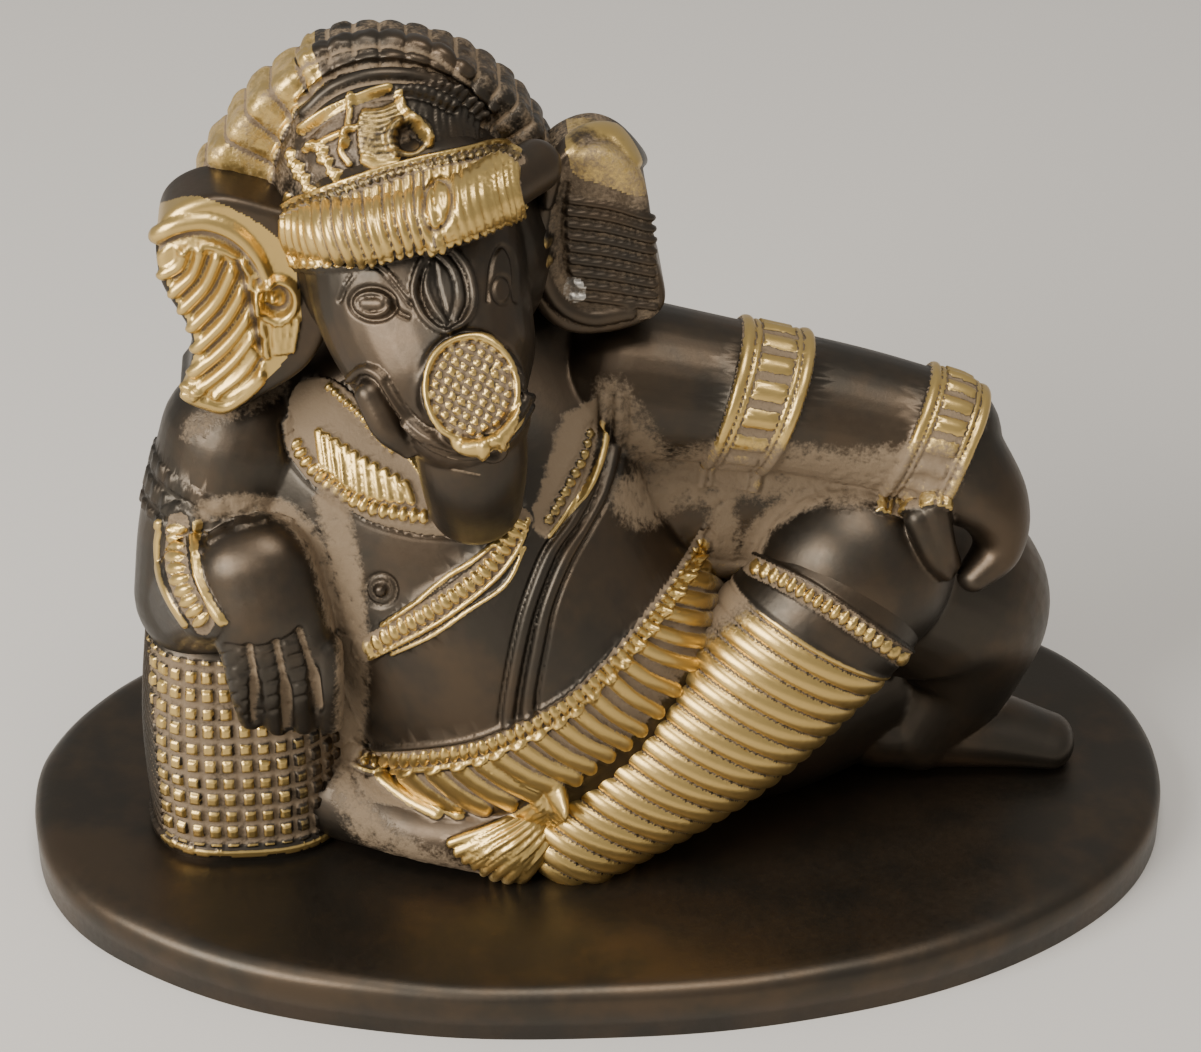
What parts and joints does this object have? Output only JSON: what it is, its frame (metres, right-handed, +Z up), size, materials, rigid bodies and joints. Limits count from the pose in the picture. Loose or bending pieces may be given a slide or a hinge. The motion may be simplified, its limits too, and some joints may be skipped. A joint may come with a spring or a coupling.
{
  "type": "reclining ganesha figure",
  "caption": "Small cast brass figure of an elephant-headed deity reclining against a bolster on an oval base, an arm over its raised knee.",
  "frame": {"origin": "centre of the underside of the oval base", "axes": "+X towards the raised knee, to the right of someone facing the figure; the figure looks towards -Y; +Z up"},
  "size_m": [0.11, 0.067, 0.0842],
  "materials": {
    "patinated_brass": "dark brown patina, rubbed to bright brass on the raised carving, with dirt in the hollows"
  },
  "bodies": {
    "root": {"reclining_figure": "patinated_brass"}
  },
  "joints": []
}
